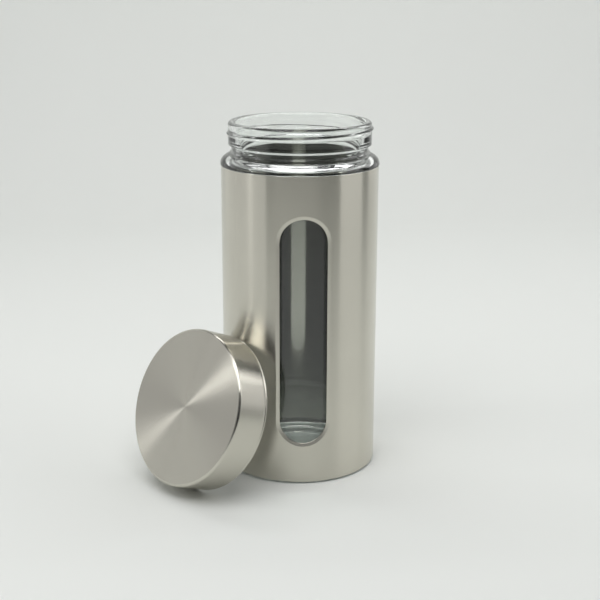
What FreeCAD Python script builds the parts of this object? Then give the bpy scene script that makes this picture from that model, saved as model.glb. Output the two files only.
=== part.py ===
import FreeCAD, Part
import math
import os

import Sketcher
from FreeCAD import Vector

# Lidded glass canister: a glass jar in a thin steel sleeve with a long window, and a screw lid
# that stands beside the jar on its open rim and leans against the sleeve.
# The origin is the middle of the jar's foot, +Z is up and the window faces -Y.

# Lengths that differ by less than this are the same length.
SAME = 1e-6
# Points on the curves of the window are read off to this length, at this many spots an edge.
CURVE_SLACK = 0.01
CURVE_SPOTS = 9

doc = FreeCAD.newDocument("canister")
sizes = doc.addObject("Spreadsheet::Sheet", "Sizes")

# Driving sizes in millimetres and degrees. Heights run up from the surface under the jar.
DRIVING = [
    ("jar_height", "225", "foot to lip"),
    ("glass_radius", "49.3", "bands of the jar that carry the sleeve"),
    ("glass_wall", "3.8", "wall of the body behind the sleeve"),
    ("base_thickness", "5.5", "foot to inner floor"),
    ("base_dish", "1.8", "hollow of the underside"),
    ("foot_width", "7", "ring that stands on the surface"),
    ("heel_round", "4", "edge between foot and body"),
    ("floor_round", "2.5", "inner corner at the floor"),
    ("band_height", "9", "each band that carries the sleeve"),
    ("band_slope", "1.5", "height of the slope from a band to the recessed body"),
    ("shoulder_overhang", "0.4", "shoulder beyond the sleeve"),
    ("shoulder_round", "5.5", "top of the shoulder"),
    ("shoulder_flat", "0.3", "least level ring round the collar's foot"),
    ("ledge_height", "0.6", "upright edge of the shoulder"),
    ("collar_step", "1", "collar beyond the neck recess"),
    ("collar_height", "2", "collar between shoulder and neck"),
    ("recess_depth", "2", "neck recess below the finish"),
    ("recess_height", "3", "neck recess below the finish"),
    ("neck_slope", "0.8", "slopes above and below the recess"),
    ("finish_radius", "45.3", "outside of the neck, between its threads"),
    ("finish_height", "14.5", "lip down to the recess"),
    ("finish_wall", "4.5", "glass between the finish and the bore"),
    ("lip_flat", "0.5", "level top of the lip, between its two rounds"),
    ("thread_height", "1.05", "thread beyond the neck"),
    ("bore_length", "6", "straight bore below the lip"),
    ("waist_depth", "1.3", "narrowing of the bore behind the neck recess"),
    ("inner_shoulder_drop", "10", "height of the slope from waist to body"),
    ("inner_shoulder_round", "7.5", "bends of the wall between bore, waist and body"),
    ("sleeve_clearance", "0.2", "sleeve to glass, at the bands"),
    ("sleeve_wall", "0.5", "sheet of the sleeve"),
    ("sleeve_lift", "1.3", "sleeve above the surface"),
    ("sleeve_seat_gap", "0.1", "sleeve to the shoulder"),
    ("window_width", "30", "clear opening of the window"),
    ("window_margin", "26.2", "sleeve above and below the window"),
    ("bevel_width", "2", "pressed edge of the window, along the sleeve"),
    ("bevel_depth", "0.8", "pressed edge of the window, into the sleeve"),
    ("bevel_land", "0.3", "bend behind the pressed edge"),
    ("bevel_step", "0.2", "bend left between the sleeve and the back of the pressed edge"),
    ("bevel_clearance", "0.2", "pressed edge to glass"),
    ("lid_height", "23.4", "open rim to face"),
    ("shell_wall", "0.5", "sheet of the lid"),
    ("shell_round", "1.6", "edge of the face"),
    ("hem_radius", "0.6", "rolled rim of the lid"),
    ("liner_fit", "0.1", "liner to the lid's sheet"),
    ("liner_wall", "2.1", "liner's skirt"),
    ("liner_top", "1.6", "liner's disc"),
    ("thread_clearance", "0.35", "liner to the jar's thread"),
    ("rib_height", "0.5", "rib of the liner that keeps the seal"),
    ("rib_width", "1.2", "rib of the liner that keeps the seal"),
    ("seal_thickness", "1.6", "flat ring on the jar's lip"),
    ("seal_overlap", "1.5", "seal inside the jar's bore"),
    ("seal_gap", "0.1", "seal to liner"),
    ("lean_direction", "-140.8", "way the lid's face looks, from +X"),
    ("lean_tilt", "21.7", "lid's axis above level"),
    ("lean_offset", "-6.5", "lid beside the jar's middle"),
    ("lean_gap", "0.2", "lid to sleeve"),
]

# Sizes that follow from the driving ones.
DERIVED = [
    ("foot_outer", "=glass_radius - heel_round"),
    ("foot_inner", "=foot_outer - foot_width"),
    ("dish_round", "=(foot_inner^2 + base_dish^2) / (2 * base_dish)"),
    ("shoulder_height", "=ledge_height + shoulder_round"),
    ("neck_height", "=collar_height + recess_height + 2 * neck_slope + finish_height"),
    ("shoulder_ledge", "=jar_height - neck_height - shoulder_height"),
    ("sleeve_inner", "=glass_radius + sleeve_clearance"),
    ("sleeve_outer", "=sleeve_inner + sleeve_wall"),
    ("sleeve_height", "=shoulder_ledge - sleeve_seat_gap - sleeve_lift"),
    ("bevel_inner", "=sleeve_inner - bevel_depth"),
    ("panel_radius", "=bevel_inner - bevel_clearance"),
    ("cavity_radius", "=panel_radius - glass_wall"),
    ("floor_edge", "=cavity_radius - floor_round"),
    ("floor_wall", "=base_thickness + floor_round"),
    ("band_low", "=sleeve_lift + band_height"),
    ("panel_low", "=band_low + band_slope"),
    ("band_high", "=shoulder_ledge - band_height"),
    ("panel_high", "=band_high - band_slope"),
    ("neck_radius", "=finish_radius - recess_depth"),
    ("collar_radius", "=neck_radius + collar_step"),
    ("shoulder_radius", "=sleeve_outer + shoulder_overhang"),
    ("shoulder_top", "=shoulder_ledge + shoulder_height"),
    ("shoulder_curve", "=min(shoulder_round; shoulder_radius - collar_radius - shoulder_flat)"),
    ("shoulder_edge", "=shoulder_top - shoulder_curve"),
    ("shoulder_end", "=shoulder_radius - shoulder_curve"),
    ("collar_top", "=shoulder_top + collar_height"),
    ("recess_low", "=collar_top + neck_slope"),
    ("finish_low", "=jar_height - finish_height"),
    ("recess_high", "=finish_low - neck_slope"),
    ("mouth_radius", "=finish_radius - finish_wall"),
    ("lip_round", "=(finish_wall - lip_flat) / 2"),
    ("lip_edge", "=jar_height - lip_round"),
    ("lip_outer", "=finish_radius - lip_round"),
    ("lip_inner", "=mouth_radius + lip_round"),
    ("bore_end", "=lip_edge - bore_length"),
    ("waist_radius", "=mouth_radius - waist_depth"),
    ("waist_middle", "=(recess_low + recess_high) / 2"),
    ("cavity_high", "=waist_middle - inner_shoulder_drop"),
    ("window_height", "=sleeve_height - 2 * window_margin"),
    ("window_middle", "=sleeve_lift + sleeve_height / 2"),
    ("bevel_reach_width", "=window_width + 2 * (bevel_width + bevel_land)"),
    ("bevel_reach_height", "=window_height + 2 * (bevel_width + bevel_land)"),
    ("window_cut_depth", "=2 * sleeve_outer"),
    ("bevel_back_width", "=bevel_width - 2 * bevel_step"),
    ("bevel_back_depth", "=bevel_depth - bevel_step"),
    ("liner_bore", "=finish_radius + thread_height + thread_clearance"),
    ("liner_outer", "=liner_bore + liner_wall"),
    ("shell_inner", "=liner_outer + liner_fit"),
    ("lid_radius", "=shell_inner + shell_wall"),
    ("shell_inner_round", "=shell_round - shell_wall"),
    ("shell_ceiling", "=lid_height - shell_wall"),
    ("shell_corner_edge", "=shell_inner - shell_inner_round"),
    ("shell_corner_low", "=shell_ceiling - shell_inner_round"),
    ("face_edge", "=lid_radius - shell_round"),
    ("wall_top", "=lid_height - shell_round"),
    ("hem_width", "=2 * hem_radius"),
    ("hem_inner", "=lid_radius - hem_width"),
    ("hem_middle", "=lid_radius - hem_radius"),
    ("liner_low", "=hem_width + liner_fit"),
    ("liner_high", "=shell_ceiling - liner_fit"),
    ("liner_round", "=shell_inner_round"),
    ("liner_edge", "=liner_outer - liner_round"),
    ("liner_shoulder", "=liner_high - liner_round"),
    ("liner_ceiling", "=liner_high - liner_top"),
    ("seal_high", "=liner_ceiling - seal_gap"),
    ("seal_low", "=seal_high - seal_thickness"),
    ("rib_high", "=seal_low - seal_gap"),
    ("rib_low", "=rib_high - rib_width"),
    ("rib_radius", "=liner_bore - rib_height"),
    ("rib_root_low", "=rib_low - rib_height"),
    ("seal_outer", "=rib_radius + rib_height / 2"),
    ("seal_inner", "=mouth_radius - seal_overlap"),
    ("lid_lean", "=hem_middle * sin(lean_tilt) + hem_radius * (1 - cos(lean_tilt))"),
    ("lid_distance", "=sleeve_outer + lean_gap + lid_lean"),
    ("lid_x", "=lid_distance * cos(lean_direction) - lean_offset * sin(lean_direction)"),
    ("lid_y", "=lid_distance * sin(lean_direction) + lean_offset * cos(lean_direction)"),
    ("lid_z", "=hem_middle * cos(lean_tilt) + hem_radius * (1 - sin(lean_tilt))"),
]


def fill_sheet():
    for row, (alias, text, note) in enumerate(DRIVING, start=1):
        sizes.set(f"A{row}", alias)
        sizes.set(f"B{row}", text)
        sizes.set(f"C{row}", note)
        sizes.setAlias(f"B{row}", alias)
    for row, (alias, formula) in enumerate(DERIVED, start=len(DRIVING) + 1):
        sizes.set(f"A{row}", alias)
        sizes.set(f"B{row}", formula)
        sizes.setAlias(f"B{row}", alias)
    doc.recompute()


def size(alias):
    return float(getattr(sizes, alias))


def bind(thing, prop, alias):
    thing.setExpression(prop, f"Sizes.{alias}")


def sketch_on_front(body, name):
    """A sketch on the body's own XZ plane, with X across and Z up."""
    plane = next(f for f in body.Origin.OriginFeatures if f.Role == "XZ_Plane")
    sketch = body.newObject("Sketcher::SketchObject", name)
    sketch.AttachmentSupport = (plane, [""])
    sketch.MapMode = "FlatFace"
    return sketch


class Outline:
    """A closed half section, drawn from corner to corner. A corner is a named radius and height,
    and None stands for the axis or the ground line. Every corner and arc is held by the sheet."""

    ORIGIN = (-1, 1)
    GROUND_LINE = -1
    AXIS_LINE = -2

    def __init__(self, sketch, radius, height):
        self.sketch = sketch
        self.first_names = (radius, height)
        self.here = self.corner(radius, height)
        self.last_end = None
        self.first_end = None

    def corner(self, radius, height):
        return Vector(size(radius) if radius else 0, size(height) if height else 0, 0)

    def hold(self, kind, end, alias):
        value = size(alias)
        index = self.sketch.addConstraint(Sketcher.Constraint(kind, *self.ORIGIN, *end, value))
        bind(self.sketch, f"Constraints[{index}]", alias)

    def pin(self, end, radius, height):
        if radius:
            self.hold("DistanceX", end, radius)
        else:
            self.sketch.addConstraint(Sketcher.Constraint("PointOnObject", *end, self.AXIS_LINE))
        if height:
            self.hold("DistanceY", end, height)
        else:
            self.sketch.addConstraint(Sketcher.Constraint("PointOnObject", *end, self.GROUND_LINE))

    def join(self, piece, radius, height, there):
        starts_here = self.sketch.getPoint(piece, 1).distanceToPoint(self.here) < SAME
        near, far = ((piece, 1), (piece, 2)) if starts_here else ((piece, 2), (piece, 1))
        if self.last_end is None:
            self.first_end = near
        else:
            self.sketch.addConstraint(Sketcher.Constraint("Coincident", *self.last_end, *near))
        self.here = there
        self.last_end = far
        if (radius, height) == self.first_names:
            self.sketch.addConstraint(Sketcher.Constraint("Coincident", *far, *self.first_end))
        self.pin(far, radius, height)

    def line(self, radius, height):
        there = self.corner(radius, height)
        piece = self.sketch.addGeometry(Part.LineSegment(self.here, there))
        self.join(piece, radius, height, there)

    def arc(self, radius, height, round_name, turn):
        """An arc of a named radius. turn is 1 where it bends to the left and -1 to the right."""
        there = self.corner(radius, height)
        reach = size(round_name)
        chord = there - self.here
        middle = (self.here + there) / 2
        left = Vector(-chord.y, chord.x, 0) / chord.Length
        sagitta = reach - math.sqrt(reach**2 - (chord.Length / 2) ** 2)
        crown = middle - left * (turn * sagitta)
        piece = self.sketch.addGeometry(Part.Arc(self.here, crown, there))
        self.join(piece, radius, height, there)
        index = self.sketch.addConstraint(Sketcher.Constraint("Radius", piece, reach))
        bind(self.sketch, f"Constraints[{index}]", round_name)


LEFT = 1
RIGHT = -1


def turned_body(label, draw):
    """A body whose half section is drawn by draw and turned once round the upright axis."""
    body = doc.addObject("PartDesign::Body", label)
    body.Label = label
    sketch = sketch_on_front(body, f"{label}_section")
    draw(sketch)
    turn = body.newObject("PartDesign::Revolution", f"{label}_turn")
    turn.Profile = sketch
    turn.ReferenceAxis = (sketch, ["V_Axis"])
    turn.Angle = 360
    sketch.Visibility = False
    return body


def round_rings(body, rings, round_name):
    """Round the circular edges of a turned body that lie at the given radii and heights."""
    doc.recompute()
    turned = body.Tip
    names = []
    for number, edge in enumerate(turned.Shape.Edges, start=1):
        if edge.Degenerated or not isinstance(edge.Curve, Part.Circle):
            continue
        found = (edge.Curve.Radius, edge.Curve.Center.z)
        if any(math.dist(found, (size(radius), size(height))) < SAME for radius, height in rings):
            names.append(f"Edge{number}")
    fillet = body.newObject("PartDesign::Fillet", f"{body.Label}_round")
    fillet.Base = (turned, names)
    bind(fillet, "Radius", round_name)


def draw_jar(sketch):
    wall = Outline(sketch, None, "base_dish")
    # Underside, foot and heel.
    wall.arc("foot_inner", None, "dish_round", RIGHT)
    wall.line("foot_outer", None)
    wall.arc("glass_radius", "heel_round", "heel_round", LEFT)
    # Body, recessed between the two bands that carry the sleeve.
    wall.line("glass_radius", "band_low")
    wall.line("panel_radius", "panel_low")
    wall.line("panel_radius", "panel_high")
    wall.line("glass_radius", "band_high")
    wall.line("glass_radius", "shoulder_ledge")
    # Shoulder, collar, neck recess and finish.
    wall.line("shoulder_radius", "shoulder_ledge")
    wall.line("shoulder_radius", "shoulder_edge")
    wall.arc("shoulder_end", "shoulder_top", "shoulder_curve", LEFT)
    wall.line("collar_radius", "shoulder_top")
    wall.line("collar_radius", "collar_top")
    wall.line("neck_radius", "recess_low")
    wall.line("neck_radius", "recess_high")
    wall.line("finish_radius", "finish_low")
    wall.line("finish_radius", "lip_edge")
    # Lip, bore, waist and inside.
    wall.arc("lip_outer", "jar_height", "lip_round", LEFT)
    wall.line("lip_inner", "jar_height")
    wall.arc("mouth_radius", "lip_edge", "lip_round", LEFT)
    wall.line("mouth_radius", "bore_end")
    wall.line("waist_radius", "waist_middle")
    wall.line("cavity_radius", "cavity_high")
    wall.line("cavity_radius", "floor_wall")
    wall.arc("floor_edge", "base_thickness", "floor_round", RIGHT)
    wall.line(None, "base_thickness")
    wall.line(None, "base_dish")


def draw_shell(sketch):
    sheet = Outline(sketch, None, "shell_ceiling")
    sheet.line("shell_corner_edge", "shell_ceiling")
    sheet.arc("shell_inner", "shell_corner_low", "shell_inner_round", RIGHT)
    sheet.line("shell_inner", "hem_width")
    # Rolled rim: a full bead under the skirt, turned in below the liner.
    sheet.line("hem_middle", "hem_width")
    sheet.arc("hem_inner", "hem_radius", "hem_radius", LEFT)
    sheet.arc("hem_middle", None, "hem_radius", LEFT)
    sheet.arc("lid_radius", "hem_radius", "hem_radius", LEFT)
    sheet.line("lid_radius", "wall_top")
    sheet.arc("face_edge", "lid_height", "shell_round", LEFT)
    sheet.line(None, "lid_height")
    sheet.line(None, "shell_ceiling")


def draw_liner(sketch):
    cup = Outline(sketch, None, "liner_ceiling")
    cup.line("liner_bore", "liner_ceiling")
    # A rib round the bore keeps the seal in its place.
    cup.line("liner_bore", "rib_high")
    cup.line("rib_radius", "rib_high")
    cup.line("rib_radius", "rib_low")
    cup.line("liner_bore", "rib_root_low")
    cup.line("liner_bore", "liner_low")
    cup.line("liner_outer", "liner_low")
    cup.line("liner_outer", "liner_shoulder")
    cup.arc("liner_edge", "liner_high", "liner_round", LEFT)
    cup.line(None, "liner_high")
    cup.line(None, "liner_ceiling")


def draw_seal(sketch):
    ring = Outline(sketch, "seal_inner", "seal_low")
    ring.line("seal_outer", "seal_low")
    ring.line("seal_outer", "seal_high")
    ring.line("seal_inner", "seal_high")
    ring.line("seal_inner", "seal_low")


def tube(name, outer, inner):
    """A round wall as tall as the sleeve."""
    walls = []
    for side, radius in (("outside", outer), ("inside", inner)):
        wall = doc.addObject("Part::Cylinder", f"{name}_{side}")
        bind(wall, "Radius", radius)
        bind(wall, "Height", "sleeve_height")
        bind(wall, "Placement.Base.z", "sleeve_lift")
        walls.append(wall)
    ring = doc.addObject("Part::Cut", name)
    ring.Base, ring.Tool = walls
    return ring


def window_block(name, width, height):
    """A block with the window's outline, half round at both ends, from the axis out through the front."""
    body = doc.addObject("PartDesign::Body", name)
    sketch = sketch_on_front(body, f"{name}_outline")
    side = size(width) / 2
    middle = size("window_middle")
    run = size(height) / 2 - side
    centres = [Vector(0, middle - run, 0), Vector(0, middle + run, 0)]
    up = Vector(0, 0, 1)
    low = sketch.addGeometry(Part.ArcOfCircle(Part.Circle(centres[0], up, side), math.pi, 2 * math.pi))
    high = sketch.addGeometry(Part.ArcOfCircle(Part.Circle(centres[1], up, side), 0, math.pi))
    right = sketch.addGeometry(
        Part.LineSegment(centres[0] + Vector(side, 0, 0), centres[1] + Vector(side, 0, 0))
    )
    left = sketch.addGeometry(
        Part.LineSegment(centres[1] - Vector(side, 0, 0), centres[0] - Vector(side, 0, 0))
    )
    for first, first_end, second, second_end in (
        (low, 2, right, 1),
        (right, 2, high, 1),
        (high, 2, left, 1),
        (left, 2, low, 1),
    ):
        sketch.addConstraint(Sketcher.Constraint("Tangent", first, first_end, second, second_end))
    sketch.addConstraint(Sketcher.Constraint("PointOnObject", low, 3, Outline.AXIS_LINE))
    sketch.addConstraint(Sketcher.Constraint("PointOnObject", high, 3, Outline.AXIS_LINE))
    held = (
        (Sketcher.Constraint("Radius", low, side), f"Sizes.{width} / 2"),
        (
            Sketcher.Constraint("DistanceY", *Outline.ORIGIN, low, 3, middle - run),
            f"Sizes.window_middle - (Sizes.{height} - Sizes.{width}) / 2",
        ),
        (
            Sketcher.Constraint("DistanceY", *Outline.ORIGIN, high, 3, middle + run),
            f"Sizes.window_middle + (Sizes.{height} - Sizes.{width}) / 2",
        ),
    )
    for constraint, expression in held:
        index = sketch.addConstraint(constraint)
        sketch.setExpression(f"Constraints[{index}]", expression)
    pad = body.newObject("PartDesign::Pad", f"{name}_pad")
    pad.Profile = sketch
    bind(pad, "Length", "window_cut_depth")
    sketch.Visibility = False
    return body


def window_edges(shape, radius, width, height):
    """Numbers of the edges in front that lie on one radius and on a window outline of one size."""
    run = (height - width) / 2
    middle = size("window_middle")
    found = []
    for number, edge in enumerate(shape.Edges, start=1):
        spots = edge.discretize(CURVE_SPOTS)
        on_wall = all(abs(math.hypot(p.x, p.y) - radius) < CURVE_SLACK for p in spots)
        rises = [max(abs(p.z - middle) - run, 0) for p in spots]
        on_outline = all(
            p.y < 0 and abs(math.hypot(p.x, rise) - width / 2) < CURVE_SLACK
            for p, rise in zip(spots, rises)
        )
        if on_wall and on_outline:
            found.append(number)
    return found


def bevel(name, base, radius, width, height, along, deep):
    """A slope of unequal legs round the window, its long leg along the wall of the given radius."""
    chamfer = doc.addObject("Part::Chamfer", name)
    chamfer.Base = base
    legs = []
    for number in window_edges(base.Shape, radius, width, height):
        first = base.Shape.ancestorsOfType(base.Shape.Edges[number - 1], Part.Face)[0].Surface
        wall_first = isinstance(first, Part.Cylinder) and abs(first.Radius - radius) < SAME
        legs.append((number, along, deep) if wall_first else (number, deep, along))
    chamfer.Edges = legs
    return chamfer


def make_sleeve():
    """A thin tube with a long window, whose edge is pressed in towards the glass as a sloping lip."""
    sheet = tube("sleeve_sheet", "sleeve_outer", "sleeve_inner")
    thick = tube("lip_ring", "sleeve_outer", "bevel_inner")
    reach = window_block("lip_reach", "bevel_reach_width", "bevel_reach_height")
    lip = doc.addObject("Part::Common", "lip_stock")
    lip.Base, lip.Tool = thick, reach
    stock = doc.addObject("Part::Fuse", "sleeve_stock")
    stock.Base, stock.Tool = sheet, lip
    stock.Refine = True
    opening = window_block("window_opening", "window_width", "window_height")
    cut = doc.addObject("Part::Cut", "sleeve_cut")
    cut.Base, cut.Tool = stock, opening
    doc.recompute()
    front = bevel(
        "sleeve_front",
        cut,
        size("sleeve_outer"),
        size("window_width"),
        size("window_height"),
        size("bevel_width"),
        size("bevel_depth"),
    )
    doc.recompute()
    sleeve = bevel(
        "steel_sleeve",
        front,
        size("bevel_inner"),
        size("bevel_reach_width"),
        size("bevel_reach_height"),
        size("bevel_back_width"),
        size("bevel_back_depth"),
    )
    sleeve.Label = "steel_sleeve"
    return sleeve


def lean(body):
    """Stand a piece of the lid on its rim beside the jar, tilted back against the sleeve."""
    spot = "vector(Sizes.lid_x; Sizes.lid_y; Sizes.lid_z)"
    axis = "vector(-sin(Sizes.lean_direction); cos(Sizes.lean_direction); 0)"
    tilt = "90 - Sizes.lean_tilt"
    body.setExpression("Placement", f"placement({spot}; rotation({axis}; {tilt}))")


def check_document():
    for thing in doc.Objects:
        if "Invalid" in thing.State or "Error" in thing.State:
            raise RuntimeError(f"{thing.Label} failed: {thing.State}")


def write_parts(pieces):
    for piece in pieces:
        shape = piece.Shape
        if shape.isNull() or not shape.isValid() or len(shape.Solids) != 1:
            raise RuntimeError(f"{piece.Label} is not one valid solid")
    os.makedirs("parts", exist_ok=True)
    for piece in pieces:
        piece.Shape.exportStep(f"parts/{piece.Label}.step")
        print(f"{piece.Label}: {piece.Shape.Volume:.0f} cubic mm")


fill_sheet()
jar = turned_body("glass_jar", draw_jar)
inner_bends = [
    ("mouth_radius", "bore_end"),
    ("waist_radius", "waist_middle"),
    ("cavity_radius", "cavity_high"),
]
round_rings(jar, inner_bends, "inner_shoulder_round")
sleeve = make_sleeve()
lid = [
    turned_body("lid_shell", draw_shell),
    turned_body("lid_liner", draw_liner),
    turned_body("lid_gasket", draw_seal),
]
for piece in lid:
    lean(piece)
doc.recompute()
check_document()
write_parts([jar, sleeve, *lid])
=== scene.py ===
import math

import bpy
from mathutils import Matrix, Vector


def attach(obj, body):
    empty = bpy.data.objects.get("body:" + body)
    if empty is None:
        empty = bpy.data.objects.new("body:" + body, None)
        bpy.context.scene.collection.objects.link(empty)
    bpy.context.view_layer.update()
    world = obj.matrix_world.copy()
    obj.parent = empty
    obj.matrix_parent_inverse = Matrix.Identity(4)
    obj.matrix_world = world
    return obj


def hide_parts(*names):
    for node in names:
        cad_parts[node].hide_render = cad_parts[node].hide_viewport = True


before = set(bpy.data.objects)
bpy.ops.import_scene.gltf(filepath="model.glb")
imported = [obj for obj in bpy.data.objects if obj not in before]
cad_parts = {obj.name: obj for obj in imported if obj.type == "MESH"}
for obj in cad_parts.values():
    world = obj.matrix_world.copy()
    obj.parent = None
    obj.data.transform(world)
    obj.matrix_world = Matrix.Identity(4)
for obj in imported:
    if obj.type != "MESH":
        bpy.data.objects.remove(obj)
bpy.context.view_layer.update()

scene = bpy.context.scene
MM = 0.001
TURN = 2 * math.pi
ON_AXIS = 1e-6  # a smaller radius counts as zero


# ---- sizes in millimetres ----
# They are the solids' own, except where the glass shows only as refraction (the inside of the
# shoulder, the round at the inner floor, the lower wall behind the sleeve) and in fine relief (the
# threads, the groove above the lid's rim).

# Glass jar: up the outside, then down the inside.
FOOT_RADIUS = 38.3
DISH_DEPTH = 1.8
DISH_RINGS = (0, 8, 16, 24, 31)
GLASS_RADIUS = 49.3
LOWER_BAND = 8.0
PANEL_RADIUS = 48.5
PANEL_LOW = 40.0
PANEL_HIGH = 187.3
UPPER_BAND = 188.8
SHOULDER_LEDGE = 197.8
SHOULDER_RADIUS = 50.4
SHOULDER_TOP = 203.9
COLLAR_RADIUS = 44.3
COLLAR_TOP = 205.9
NECK_RADIUS = 43.3
NECK_LOW = 206.7
NECK_HIGH = 209.7
FINISH_RADIUS = 45.3
FINISH_LOW = 210.5
JAR_HEIGHT = 225.0
MOUTH_RADIUS = 40.8
MOUTH_LOW = 217.0
WAIST_RADIUS = 39.5
WAIST_HIGH = 208.2
WAIST_LOW = 199.8
CAVITY_RADIUS = 44.7
CAVITY_HIGH = 199.3
CAVITY_LOW = 5.5

# Steel sleeve and the window pressed into it.
SLEEVE_RADIUS = 50.0
SLEEVE_WALL = 0.5
SLEEVE_LOW = 1.3
SLEEVE_HIGH = 197.7
WINDOW_HALF_WIDTH = 15.0
WINDOW_HALF_RUN = 57.0
WINDOW_MIDDLE = 99.5
LIP_WIDTH = 2.0
LIP_DEPTH = 0.8
LIP_BEND = 0.6

# Lid, from its rim at height 0 to its face.
LID_RADIUS = 49.39
LID_HEIGHT = 23.4
LID_WALL = 0.5
HEM = 0.6
GROOVE_DEPTH = 0.2
GROOVE_LOW = 1.35
GROOVE_HIGH = 2.0
LINER_BORE = 46.7
LINER_RADIUS = 48.8
LINER_LOW = 1.3
LINER_HIGH = 22.8
LINER_CEILING = 21.2
RIB_LOW = 18.2
RIB_HIGH = 19.4
RIB_DEPTH = 0.5
SEAL_BORE = 39.3
SEAL_RADIUS = 46.45
SEAL_LOW = 19.5
SEAL_HIGH = 21.1
SEAL_ROUND = 0.35

# Screw thread.
THREAD_PITCH = 6.8
THREAD_FADE = 0.12  # share of a turn over which an end runs out
THREAD_CROWN = 0.8  # power of the bead's curve: below 1 the bead is fuller
NECK_THREAD_HEIGHT = 1.05
LINER_THREAD_HEIGHT = 0.95

# The lid stands on its rim and leans back: its own Z runs out through its face.
LEAN_SPOT = Vector((-57.0262, -38.1217, 45.7198)) * MM
LEAN_DIRECTION = math.radians(-140.8)
LEAN_TURN = math.radians(90 - 21.7)


# ---- mesh helpers ----

def new_object(name, points, faces, matrix=None):
    """A smooth mesh object at the origin, from points in millimetres. matrix carries the mesh to
    its place."""
    mesh = bpy.data.meshes.new(name)
    mesh.from_pydata([tuple(c * MM for c in p) for p in points], [], faces)
    ring_map(mesh)
    if matrix is not None:
        mesh.transform(matrix)
    mesh.update()
    for polygon in mesh.polygons:
        polygon.use_smooth = True
    thing = bpy.data.objects.new(name, mesh)
    scene.collection.objects.link(thing)
    return thing


def ring_map(mesh):
    """A UV map of the rings round the mesh's own Z: U is the share of a turn, V runs across the
    rings, down a wall and out over a face, in metres. A point on the axis takes the U of the
    middle of its face."""
    layer = mesh.uv_layers.new(name="rings")
    for polygon in mesh.polygons:
        spots = [mesh.vertices[v].co for v in polygon.vertices]
        turns = [
            math.atan2(c.y, c.x) / TURN if math.hypot(c.x, c.y) > ON_AXIS else None for c in spots
        ]
        known = [t for t in turns if t is not None]
        if max(known) - min(known) > 0.5:
            turns = [t + 1 if t is not None and t < 0 else t for t in turns]
            known = [t for t in turns if t is not None]
        middle = sum(known) / len(known)
        for loop, spot, turn in zip(polygon.loop_indices, spots, turns):
            across = math.hypot(spot.x, spot.y) - spot.z
            layer.data[loop].uv = (middle if turn is None else turn, across)


def rounded(corners, closed=False, arc_step=12.0, support=0.15):
    """A half section as points (radius, height), from corners (radius, height, round). Each round
    becomes an arc with one extra point close to both its ends, which keeps flats flat."""
    points = []
    count = len(corners)
    for index, (r, z, size) in enumerate(corners):
        end = not closed and index in (0, count - 1)
        if end or size <= 0:
            points.append((r, z))
            continue
        here = Vector((r, z))
        before = Vector(corners[index - 1][:2]) - here
        after = Vector(corners[(index + 1) % count][:2]) - here
        bend = math.pi - before.angle(after)
        reach = size * math.tan(bend / 2)
        first = here + before.normalized() * reach
        last = here + after.normalized() * reach
        inward = (before.normalized() + after.normalized()).normalized()
        middle = here + inward * math.hypot(size, reach)
        if before.length > reach + 2 * support:
            points.append(tuple(first + before.normalized() * support))
        steps = max(2, math.ceil(math.degrees(bend) / arc_step))
        start = first - middle
        turn = start.angle_signed(last - middle)
        for step in range(steps + 1):
            angle = -turn * step / steps
            c, s = math.cos(angle), math.sin(angle)
            points.append((
                middle.x + c * start.x - s * start.y,
                middle.y + s * start.x + c * start.y,
            ))
        if after.length > reach + 2 * support:
            points.append(tuple(last + after.normalized() * support))
    return points


def refined(points, low, high, step):
    """The same half section with extra points on each piece of it between two heights."""
    found = [points[0]]
    for (r0, z0), (r1, z1) in zip(points, points[1:]):
        parts = 1
        if low <= min(z0, z1) and max(z0, z1) <= high:
            parts = max(1, math.ceil(math.hypot(r1 - r0, z1 - z0) / step))
        for part in range(1, parts + 1):
            t = part / parts
            found.append((r0 + t * (r1 - r0), z0 + t * (z1 - z0)))
    return found


def lathe(name, points, segments, matrix=None, closed=False, proud=None):
    """Turns a half section once round Z. proud(angle, radius, height) gives what to add to the
    radius. A point on the axis becomes the tip of a fan."""
    spots, rows = [], []
    for r, z in points:
        if r < ON_AXIS:
            rows.append([len(spots)])
            spots.append((0, 0, z))
            continue
        row = []
        for segment in range(segments):
            angle = TURN * segment / segments
            radius = r + (proud(angle, r, z) if proud else 0)
            row.append(len(spots))
            spots.append((radius * math.cos(angle), radius * math.sin(angle), z))
        rows.append(row)
    pairs = list(zip(rows, rows[1:]))
    if closed:
        pairs.append((rows[-1], rows[0]))
    faces = []
    for lower, upper in pairs:
        for segment in range(segments):
            after = (segment + 1) % segments
            if len(lower) == 1:
                faces.append((lower[0], upper[after], upper[segment]))
            elif len(upper) == 1:
                faces.append((lower[segment], lower[after], upper[0]))
            else:
                faces.append((lower[segment], lower[after], upper[after], upper[segment]))
    return new_object(name, spots, faces, matrix)


def smooth_step(t):
    t = min(1.0, max(0.0, t))
    return t * t * (3 - 2 * t)


def thread_bead(angle, height, start, turns, foot, half_width):
    """Height of a screw thread's bead, from 0 to 1, at an angle and a height. The bead starts at
    the angle start and the height foot, climbs anticlockwise by one pitch a turn and fades at both
    ends. The laps cover every turn of it that can pass this angle."""
    best = 0.0
    for lap in range(-1, 3):
        along = (angle - start) / TURN + lap
        if not 0 <= along <= turns:
            continue
        off = abs(height - foot - along * THREAD_PITCH) / half_width
        if off < 1:
            ends = smooth_step(along / THREAD_FADE) * smooth_step((turns - along) / THREAD_FADE)
            best = max(best, ends * (0.5 + 0.5 * math.cos(math.pi * off)) ** THREAD_CROWN)
    return best


# ---- glass jar with its screw thread ----

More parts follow.
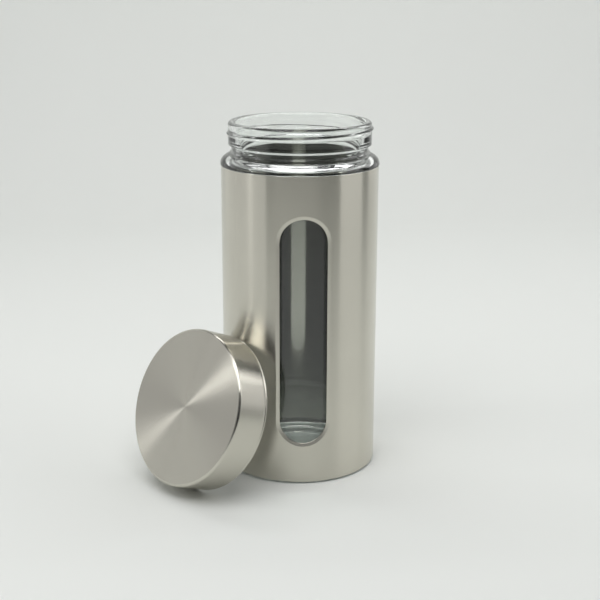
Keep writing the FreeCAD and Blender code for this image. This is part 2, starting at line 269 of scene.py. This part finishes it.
def make_jar():
    # Rounds of the corners, in their order.
    foot_edge, heel, wall_blend, wall_step, ledge = 0.6, 4.0, 40.0, 0.8, 0.3
    shoulder, collar_foot, collar_edge, neck, finish_edge = 5.5, 0.5, 0.6, 0.9, 0.5
    lip, bore, waist_edge, inside = 2.0, 7.5, 2.2, 1.5
    corners = [
        (FOOT_RADIUS, 0, foot_edge),
        (GLASS_RADIUS, 0, heel),
        (GLASS_RADIUS, LOWER_BAND, wall_blend),
        (PANEL_RADIUS, PANEL_LOW, wall_blend),
        (PANEL_RADIUS, PANEL_HIGH, wall_step),
        (GLASS_RADIUS, UPPER_BAND, wall_step),
        (GLASS_RADIUS, SHOULDER_LEDGE, ledge),
        (SHOULDER_RADIUS, SHOULDER_LEDGE, ledge),
        (SHOULDER_RADIUS, SHOULDER_TOP, shoulder),
        (COLLAR_RADIUS, SHOULDER_TOP, collar_foot),
        (COLLAR_RADIUS, COLLAR_TOP, collar_edge),
        (NECK_RADIUS, NECK_LOW, neck),
        (NECK_RADIUS, NECK_HIGH, neck),
        (FINISH_RADIUS, FINISH_LOW, finish_edge),
        (FINISH_RADIUS, JAR_HEIGHT, lip),
        (MOUTH_RADIUS, JAR_HEIGHT, lip),
        (MOUTH_RADIUS, MOUTH_LOW, bore),
        (WAIST_RADIUS, WAIST_HIGH, bore),
        (WAIST_RADIUS, WAIST_LOW, waist_edge),
        (CAVITY_RADIUS, CAVITY_HIGH, inside),
        (CAVITY_RADIUS, CAVITY_LOW, inside),
        (0, CAVITY_LOW, 0),
    ]
    dish_round = (FOOT_RADIUS ** 2 + DISH_DEPTH ** 2) / (2 * DISH_DEPTH)
    under = [
        (r, math.sqrt(dish_round ** 2 - r ** 2) - dish_round + DISH_DEPTH) for r in DISH_RINGS
    ]
    section = under[:-1] + rounded([(*under[-1], 0), *corners], arc_step=9)
    fine_low, bead_low, fine_high, fine_step, slack = 210.4, 211.0, 223.2, 0.3, 0.01
    section = refined(section, fine_low, fine_high, fine_step)

    def proud(angle, radius, height):
        if radius < FINISH_RADIUS - slack or not bead_low < height < fine_high:
            return 0.0
        return NECK_THREAD_HEIGHT * thread_bead(
            angle, height, start=math.radians(25), turns=1.04, foot=214.4, half_width=1.35)

    return lathe("jar", section, segments=288, proud=proud)


# ---- steel sleeve with its pressed window ----

def lip_inset(offset):
    """How far the sheet lies inside the sleeve's own radius, at a distance from the window's edge.
    The lip slopes evenly and runs out into the sleeve in a soft bend."""
    along = LIP_WIDTH - offset
    if along < LIP_BEND / 2:
        along = max(0.0, along + LIP_BEND / 2) ** 2 / (2 * LIP_BEND)
    return LIP_DEPTH * along / LIP_WIDTH


def make_sleeve():
    """The sheet's outer side (0) and inner side (1), joined along its edges. Each side is a grid of
    columns and rows, closer near the top and bottom edges. A patch at the front is left out of the
    grid and filled with rings, which follow the window at the given offsets and then blend into
    the patch's border."""
    patch_half_width, patch_columns = 24.0, 24
    patch_half_height, patch_rows = 84.0, 56
    back_steps = 192
    edge_steps = (0, 0.06, 0.16, 0.4, 3, 8)
    edge_cut, edge_reach = 0.12, 0.16
    offsets = [0, 0.15, 0.5, 1.0, 1.5, 1.7, 1.85, 2.0, 2.15, 2.3, 2.6, 3.2, 4.5]
    last_offset = len(offsets) - 1
    blends = 6
    last_ring = last_offset + blends

    columns = [patch_half_width * (-1 + 2 * i / patch_columns) for i in range(patch_columns + 1)]
    heights = [
        WINDOW_MIDDLE + patch_half_height * (-1 + 2 * i / patch_rows) for i in range(patch_rows + 1)
    ]
    border = [(c, heights[0]) for c in columns[:-1]]
    border += [(columns[-1], h) for h in heights[:-1]]
    border += [(c, heights[-1]) for c in reversed(columns[1:])]
    border += [(columns[0], h) for h in reversed(heights[1:])]

    low_rows = [SLEEVE_LOW + e for e in edge_steps]
    high_rows = [SLEEVE_HIGH - e for e in reversed(edge_steps)]
    levels = low_rows + heights + high_rows
    top_row = len(levels) - 1
    first_row, last_row = len(low_rows), len(low_rows) + patch_rows
    half_angle = patch_half_width / SLEEVE_RADIUS
    back_angle = TURN - 2 * half_angle
    angles = [c / SLEEVE_RADIUS for c in columns]
    angles += [half_angle + back_angle * i / back_steps for i in range(1, back_steps)]

    points, index, faces = [], {}, []

    def edge_round(z):
        """The sheet's top and bottom edges are slightly rounded."""
        near = min(z - SLEEVE_LOW, SLEEVE_HIGH - z)
        return edge_cut * (1 - min(1, near / edge_reach)) ** 2

    def spot(key, side, angle, z, inset):
        """The number of a point, at an angle from the front and a height. Made when first asked
        for."""
        if (key, side) not in index:
            if side == 0:
                radius = SLEEVE_RADIUS - inset - edge_round(z)
            else:
                radius = SLEEVE_RADIUS - SLEEVE_WALL - inset + edge_round(z)
            turn = angle - math.pi / 2
            index[key, side] = len(points)
            points.append((radius * math.cos(turn), radius * math.sin(turn), z))
        return index[key, side]

    def grid(row, column, side):
        column %= len(angles)
        return spot(("grid", row, column), side, angles[column], levels[row], 0)

    def ring(number, place, side):
        place %= len(border)
        arc, z = border[place]
        if number == last_ring:
            return grid(levels.index(z), columns.index(arc), side)
        offset = offsets[min(number, last_offset)]
        rise = min(WINDOW_HALF_RUN, max(-WINDOW_HALF_RUN, z - WINDOW_MIDDLE))
        away = Vector((arc, z - WINDOW_MIDDLE - rise)).normalized()
        reach = WINDOW_HALF_WIDTH + offset
        # The window is cut straight through from the front, so its width is measured across.
        angle = math.asin(reach * away.x / SLEEVE_RADIUS)
        height = WINDOW_MIDDLE + rise + reach * away.y
        share = max(0, number - last_offset) / blends
        angle += share * (arc / SLEEVE_RADIUS - angle)
        height += share * (z - height)
        return spot(("ring", number, place), side, angle, height, lip_inset(offset))

    for side in (0, 1):
        for row in range(top_row):
            for column in range(len(angles)):
                if column < patch_columns and first_row <= row < last_row:
                    continue
                corners = (grid(row, column, side), grid(row, column + 1, side),
                           grid(row + 1, column + 1, side), grid(row + 1, column, side))
                faces.append(corners if side == 0 else corners[::-1])
        for number in range(last_ring):
            for place in range(len(border)):
                corners = (ring(number, place, side), ring(number + 1, place, side),
                           ring(number + 1, place + 1, side), ring(number, place + 1, side))
                faces.append(corners if side == 0 else corners[::-1])

    for place in range(len(border)):
        faces.append((ring(0, place, 0), ring(0, place + 1, 0),
                      ring(0, place + 1, 1), ring(0, place, 1)))
    for column in range(len(angles)):
        faces.append((grid(0, column, 1), grid(0, column + 1, 1),
                      grid(0, column + 1, 0), grid(0, column, 0)))
        faces.append((grid(top_row, column, 0), grid(top_row, column + 1, 0),
                      grid(top_row, column + 1, 1), grid(top_row, column, 1)))
    sleeve = new_object("sleeve", points, faces)
    inside = sleeve.data.attributes.new("inside", "FLOAT", "POINT")
    for (_, side), number in index.items():
        inside.data[number].value = side
    return sleeve


# ---- lid ----

def lean_matrix():
    axis = Vector((-math.sin(LEAN_DIRECTION), math.cos(LEAN_DIRECTION), 0))
    return Matrix.Translation(LEAN_SPOT) @ Matrix.Rotation(LEAN_TURN, 4, axis)


def make_shell(matrix):
    """Sheet lid with a flat face and a rolled rim, set off by a shallow groove."""
    face_rings = (0, 16, 32)
    face_edge, inner_edge = 1.6, 1.1
    groove_start, groove_end = 3.0, 1.1
    groove_bend, groove_floor, groove_foot, hem_bend = 1.5, 0.5, 0.1, 0.15
    # The rolled rim's inner rounds stay a little short of a half circle, so no side vanishes.
    hem_in, hem_over = HEM - 0.02, HEM - 0.05
    seam_rise, seam_round = 0.3, 0.2
    corners = [(r, LID_HEIGHT, 0) for r in face_rings] + [
        (LID_RADIUS, LID_HEIGHT, face_edge),
        (LID_RADIUS, groove_start, groove_bend),
        (LID_RADIUS - GROOVE_DEPTH, GROOVE_HIGH, groove_floor),
        (LID_RADIUS - GROOVE_DEPTH, GROOVE_LOW, groove_foot),
        (LID_RADIUS, groove_end, hem_bend),
        (LID_RADIUS, 0, HEM),
        (LID_RADIUS - 2 * HEM, 0, hem_in),
        (LID_RADIUS - 2 * HEM, 2 * HEM, hem_over),
        (LID_RADIUS - LID_WALL, 2 * HEM + seam_rise, seam_round),
        (LID_RADIUS - LID_WALL, LID_HEIGHT - LID_WALL, inner_edge),
        (0, LID_HEIGHT - LID_WALL, 0),
    ]
    return lathe("lid_cap", rounded(corners, arc_step=9)[::-1], segments=288, matrix=matrix)


def make_liner(matrix):
    """Plastic cup with a thread and a rib that holds the seal."""
    ceiling_round, rib_foot, rib_edge, rib_lip, rib_run = 0.3, 0.1, 0.15, 0.2, 0.3
    bore_edge, outer_edge, top_edge = 0.4, 0.3, 1.1
    corners = [
        (0, LINER_CEILING, 0),
        (LINER_BORE, LINER_CEILING, ceiling_round),
        (LINER_BORE, RIB_HIGH, rib_foot),
        (LINER_BORE - RIB_DEPTH, RIB_HIGH, rib_edge),
        (LINER_BORE - RIB_DEPTH, RIB_LOW, rib_lip),
        (LINER_BORE, RIB_LOW - RIB_DEPTH, rib_run),
        (LINER_BORE, LINER_LOW, bore_edge),
        (LINER_RADIUS, LINER_LOW, outer_edge),
        (LINER_RADIUS, LINER_HIGH, top_edge),
        (0, LINER_HIGH, 0),
    ]
    fine_low, fine_high, fine_step, slack = 1.8, 17.6, 0.35, 0.05
    section = refined(rounded(corners), fine_low, fine_high, fine_step)

    def proud(angle, radius, height):
        if abs(radius - LINER_BORE) > slack or not fine_low < height < fine_high:
            return 0.0
        return -LINER_THREAD_HEIGHT * thread_bead(
            angle, height, start=math.radians(200), turns=1.5, foot=4.2, half_width=1.2)

    return lathe("lid_liner_cup", section, segments=240, matrix=matrix, proud=proud)


def make_seal(matrix):
    corners = [
        (SEAL_BORE, SEAL_LOW, SEAL_ROUND),
        (SEAL_RADIUS, SEAL_LOW, SEAL_ROUND),
        (SEAL_RADIUS, SEAL_HIGH, SEAL_ROUND),
        (SEAL_BORE, SEAL_HIGH, SEAL_ROUND),
    ]
    section = rounded(corners, closed=True, support=0.3)
    return lathe("lid_seal", section, segments=192, matrix=matrix, closed=True)


# ---- materials ----

# Noise stays close to its middle: these two values count as its darkest and its lightest.
NOISE_LOW, NOISE_HIGH = 0.3, 0.7


class Nodes:
    """A material's node tree, built link by link."""

    def __init__(self, name):
        self.material = bpy.data.materials.new(name)
        self.material.use_nodes = True
        self.tree = self.material.node_tree
        self.shader = self.tree.nodes["Principled BSDF"]

    def feed(self, socket, value):
        """A constant is set on the socket itself, another node's output is linked to it."""
        if isinstance(value, bpy.types.NodeSocket):
            self.tree.links.new(value, socket)
        else:
            socket.default_value = value

    def add(self, kind, inputs=None, **settings):
        node = self.tree.nodes.new(kind)
        for key, value in settings.items():
            setattr(node, key, value)
        for key, value in (inputs or {}).items():
            self.feed(node.inputs[key], value)
        return node

    def set(self, **values):
        for key, value in values.items():
            self.feed(self.shader.inputs[key.replace("_", " ")], value)

    def place(self):
        return self.add("ShaderNodeTexCoord").outputs["Object"]

    def math(self, operation, *values):
        inputs = dict(enumerate(values))
        return self.add("ShaderNodeMath", inputs, operation=operation).outputs[0]

    def noise(self, vector, scale, detail):
        inputs = {"Vector": vector, "Scale": scale, "Detail": detail}
        return self.add("ShaderNodeTexNoise", inputs).outputs["Fac"]

    def spread(self, noise, middle, swing):
        """A value that swings about a middle with the noise."""
        inputs = {
            "Value": noise,
            "From Min": NOISE_LOW,
            "From Max": NOISE_HIGH,
            "To Min": middle - swing,
            "To Max": middle + swing,
        }
        return self.add("ShaderNodeMapRange", inputs).outputs["Result"]

    def ramp(self, noise, dark, light, start=NOISE_LOW, end=NOISE_HIGH):
        """A colour between two colours, chosen by the noise."""
        node = self.add("ShaderNodeValToRGB", {"Fac": noise})
        low, high = node.color_ramp.elements
        low.position, high.position = start, end
        low.color, high.color = (*dark, 1), (*light, 1)
        return node.outputs["Color"]

    def bump(self, height, strength, distance):
        inputs = {"Height": height, "Strength": strength, "Distance": distance}
        return self.add("ShaderNodeBump", inputs).outputs["Normal"]


def brushed_steel(name, roughness, grain, shaded_lining=None):
    """Steel brushed round the piece's own axis: fine rings that spread reflections across them.
    The lining colour, if given, paints the sheet's inner side darker, where the mesh says which
    side is inside: painted shade for the dim inside of the sleeve."""
    steel = (0.62, 0.60, 0.53)
    hair_lines, hair_drift, hair_share = 2600.0, 1.5, 0.5
    streak_lines, streak_drift, streak_share = 600.0, 1.0, 0.1
    cloud_scale, cloud_share = 25.0, 0.4
    polish_swing, lining_polish = 0.003, 0.08
    detail = 2.0
    m = Nodes(name)
    ring_place = m.add("ShaderNodeUVMap", uv_map="rings").outputs["UV"]
    turn, across = m.add("ShaderNodeSeparateXYZ", {0: ring_place}).outputs[:2]
    angle = m.math("MULTIPLY", turn, TURN)
    around_x = m.math("COSINE", angle)
    around_y = m.math("SINE", angle)

    def rings(lines, drift):
        """Noise drawn out along the rings: lines to the metre across them, a slow drift round."""
        vector = m.add("ShaderNodeCombineXYZ", {
            0: m.math("MULTIPLY", across, lines),
            1: m.math("MULTIPLY", around_x, drift),
            2: m.math("MULTIPLY", around_y, drift),
        })
        return m.noise(vector.outputs[0], 1.0, detail)

    hair = rings(hair_lines, hair_drift)
    streak = rings(streak_lines, streak_drift)
    cloud = m.noise(m.place(), cloud_scale, detail)
    slow_tone = m.math(
        "ADD", m.math("MULTIPLY", streak, streak_share), m.math("MULTIPLY", cloud, cloud_share))
    tone = m.math("ADD", m.math("MULTIPLY", hair, hair_share), slow_tone)
    dark = [c * (1 - grain) for c in steel]
    light = [c * (1 + grain) for c in steel]
    shade = m.ramp(tone, dark, light)
    polish = m.spread(tone, roughness, polish_swing)
    # The inner side is painted darker than the steel: painted shade for the dim inside of the
    # sleeve.
    if shaded_lining:
        inside = m.add("ShaderNodeAttribute", attribute_name="inside").outputs["Fac"]
        mix = {"Fac": inside, "Color1": shade, "Color2": (*shaded_lining, 1)}
        shade = m.add("ShaderNodeMixRGB", mix).outputs["Color"]
        polish = m.math("SUBTRACT", polish, m.math("MULTIPLY", inside, lining_polish))
    tangent = m.add("ShaderNodeTangent", direction_type="UV_MAP", uv_map="rings")
    m.set(
        Base_Color=shade,
        Metallic=1.0,
        Roughness=polish,
        Anisotropic=0.95,
        Anisotropic_Rotation=0.25,
        Normal=m.bump(hair, strength=0.02, distance=0.00001),
        Tangent=tangent.outputs["Tangent"],
    )
    return m.material


def clear_glass():
    """Clear glass with the faint waves of a moulded jar."""
    m = Nodes("clear_glass")
    wave = m.noise(m.place(), scale=55.0, detail=1.0)
    m.set(
        Base_Color=(0.965, 0.985, 0.972, 1),
        Roughness=0.0,
        IOR=1.5,
        Transmission_Weight=1.0,
        Normal=m.bump(wave, strength=0.05, distance=0.0006),
    )
    # Lamps shine through the glass instead of casting a solid shadow.
    through = m.add("ShaderNodeBsdfTransparent", {"Color": (0.9, 0.93, 0.91, 1)})
    shade = m.add("ShaderNodeLightPath").outputs["Is Shadow Ray"]
    mix = m.add("ShaderNodeMixShader", {0: shade, 1: m.shader.outputs[0], 2: through.outputs[0]})
    m.feed(m.tree.nodes["Material Output"].inputs["Surface"], mix.outputs[0])
    return m.material


def moulded(name, colour, roughness, grain_scale, relief):
    """Moulded plastic or rubber with a fine even grain."""
    cloud_scale, cloud_detail, grain_detail = 60.0, 3.0, 2.0
    darkest, polish_swing = 0.95, 0.06
    m = Nodes(name)
    place = m.place()
    cloud = m.noise(place, cloud_scale, cloud_detail)
    grain = m.noise(place, grain_scale, grain_detail)
    m.set(
        Base_Color=m.ramp(cloud, [c * darkest for c in colour], colour),
        Roughness=m.spread(grain, roughness, polish_swing),
        Normal=m.bump(grain, relief, distance=0.0002),
    )
    return m.material


# ---- pieces ----

def dress(piece, material, body, node):
    piece.data.materials.append(material)
    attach(piece, body)
    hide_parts(node)


# The sleeve's darker lining colour is painted shade for its dim inside.
sleeve_steel = brushed_steel(
    "sleeve_steel", roughness=0.25, grain=0.04, shaded_lining=(0.36, 0.345, 0.30))
lid_steel = brushed_steel("lid_steel", roughness=0.27, grain=0.02)
liner_plastic = moulded(
    "liner_plastic", (0.80, 0.80, 0.78), roughness=0.42, grain_scale=900.0, relief=0.08)
seal_rubber = moulded(
    "seal_rubber", (0.74, 0.75, 0.74), roughness=0.55, grain_scale=1400.0, relief=0.1)

leaning = lean_matrix()
dress(make_jar(), clear_glass(), "canister", "glass_jar")
dress(make_sleeve(), sleeve_steel, "canister", "steel_sleeve")
dress(make_shell(leaning), lid_steel, "lid", "lid_shell")
dress(make_liner(leaning), liner_plastic, "lid", "lid_liner")
dress(make_seal(leaning), seal_rubber, "seal", "lid_gasket")


# ---- floor and backdrop ----

def make_stage():
    """A pale sheet that lies under the object and curves up behind it. Sizes in millimetres."""
    front, half_width, top = -3000.0, 3000.0, 1500.0
    bend_start, bend_round, bend_steps = 720.0, 300.0, 16
    line = [(front, 0.0), (bend_start, 0.0)]
    for step in range(1, bend_steps + 1):
        angle = math.pi / 2 * step / bend_steps
        line.append((
            bend_start + bend_round * math.sin(angle),
            bend_round * (1 - math.cos(angle)),
        ))
    line.append((bend_start + bend_round, top))
    points = [(x, y, z) for y, z in line for x in (-half_width, half_width)]
    faces = [(2 * i, 2 * i + 1, 2 * i + 3, 2 * i + 2) for i in range(len(line) - 1)]
    floor = new_object("floor", points, faces)
    m = Nodes("floor_paper")
    cloud = m.noise(m.place(), scale=3.0, detail=2.0)
    paper = m.ramp(cloud, (0.785, 0.80, 0.775), (0.80, 0.815, 0.79), start=0.0, end=1.0)
    m.set(Base_Color=paper, Roughness=0.9, Specular_IOR_Level=0.1)
    floor.data.materials.append(m.material)


make_stage()


# ---- light ----

def area_light(name, place, aim, size, watts):
    """A lamp of a width and a height in metres, which the camera doesn't see."""
    data = bpy.data.lights.new(name, "AREA")
    data.shape = "RECTANGLE"
    data.size, data.size_y = size
    data.energy = watts
    lamp = bpy.data.objects.new(name, data)
    scene.collection.objects.link(lamp)
    lamp.location = place
    lamp.rotation_euler = (Vector(aim) - Vector(place)).to_track_quat("-Z", "Y").to_euler()
    lamp.visible_camera = False


# Overhead: the floor in front, the floor behind and the backdrop.
area_light("front_panel", place=(-0.15, -0.45, 0.92), aim=(-0.15, -0.3, 0.0),
           size=(0.9, 0.7), watts=5.75)
area_light("back_strip", place=(0.0, 0.4, 0.95), aim=(0.0, 0.4, 0.0),
           size=(1.1, 0.12), watts=1.65)
area_light("backdrop_wash", place=(0.1, 0.45, 1.15), aim=(0.1, 1.0, 0.45),
           size=(1.8, 0.3), watts=4.85)
# Left: a broad pale wall for the sleeve's left side, and a spot for the fan on the lid's face.
area_light("left_wall", place=(-0.8, 0.325, 0.42), aim=(0.0, 0.325, 0.42),
           size=(1.95, 0.84), watts=2.5)
area_light("left_spot", place=(-0.793, -0.15, 0.497), aim=(-0.074, -0.052, 0.054),
           size=(0.09, 0.2), watts=0.5)
# Right: two low panels with a gap, which is the dark line on the sleeve, and a brighter high one.
area_light("right_front", place=(0.8, -0.235, 0.27), aim=(0.0, -0.235, 0.27),
           size=(0.63, 0.36), watts=0.66)
area_light("right_back", place=(0.8, 0.65, 0.27), aim=(0.0, 0.65, 0.27),
           size=(0.7, 0.36), watts=0.66)
area_light("right_high", place=(0.8, 0.0, 0.6), aim=(0.0, 0.0, 0.6),
           size=(1.0, 0.36), watts=2.6)

world = bpy.data.worlds.new("room")
world.use_nodes = True
scene.world = world
background = world.node_tree.nodes["Background"]
background.inputs["Color"].default_value = (0.9, 0.93, 0.95, 1)
background.inputs["Strength"].default_value = 0.055

scene.view_settings.view_transform = "Standard"


# ---- camera, for a picture of 600 by 600 ----

def make_camera():
    """The camera fitted to the photograph's edges. It looks along +Y, down by pitch, and is then
    turned about the jar's axis by azimuth."""
    focal_pixels, picture_side, sensor = 1187.79, 600.0, 36.0
    place = Vector((0, -0.74797, 0.31848))
    azimuth = math.radians(-3.0)
    pitch, roll, yaw = math.radians(15.7293), math.radians(0.173), math.radians(0.0261)
    turn = Matrix.Rotation(azimuth, 3, "Z")
    level = math.cos(pitch)
    ahead = Vector((math.sin(yaw) * level, math.cos(yaw) * level, -math.sin(pitch)))
    side = ahead.cross(Vector((0, 0, 1))).normalized()
    rise = side.cross(ahead)
    right = math.cos(roll) * side + math.sin(roll) * rise
    up = -math.sin(roll) * side + math.cos(roll) * rise
    axes = Matrix((turn @ right, turn @ up, turn @ -ahead)).transposed()
    data = bpy.data.cameras.new("camera")
    data.sensor_width = sensor
    data.lens = focal_pixels / picture_side * sensor
    data.clip_start, data.clip_end = 0.01, 50
    camera = bpy.data.objects.new("camera", data)
    scene.collection.objects.link(camera)
    camera.matrix_world = Matrix.Translation(turn @ place) @ axes.to_4x4()
    scene.camera = camera


make_camera()
bpy.context.view_layer.update()
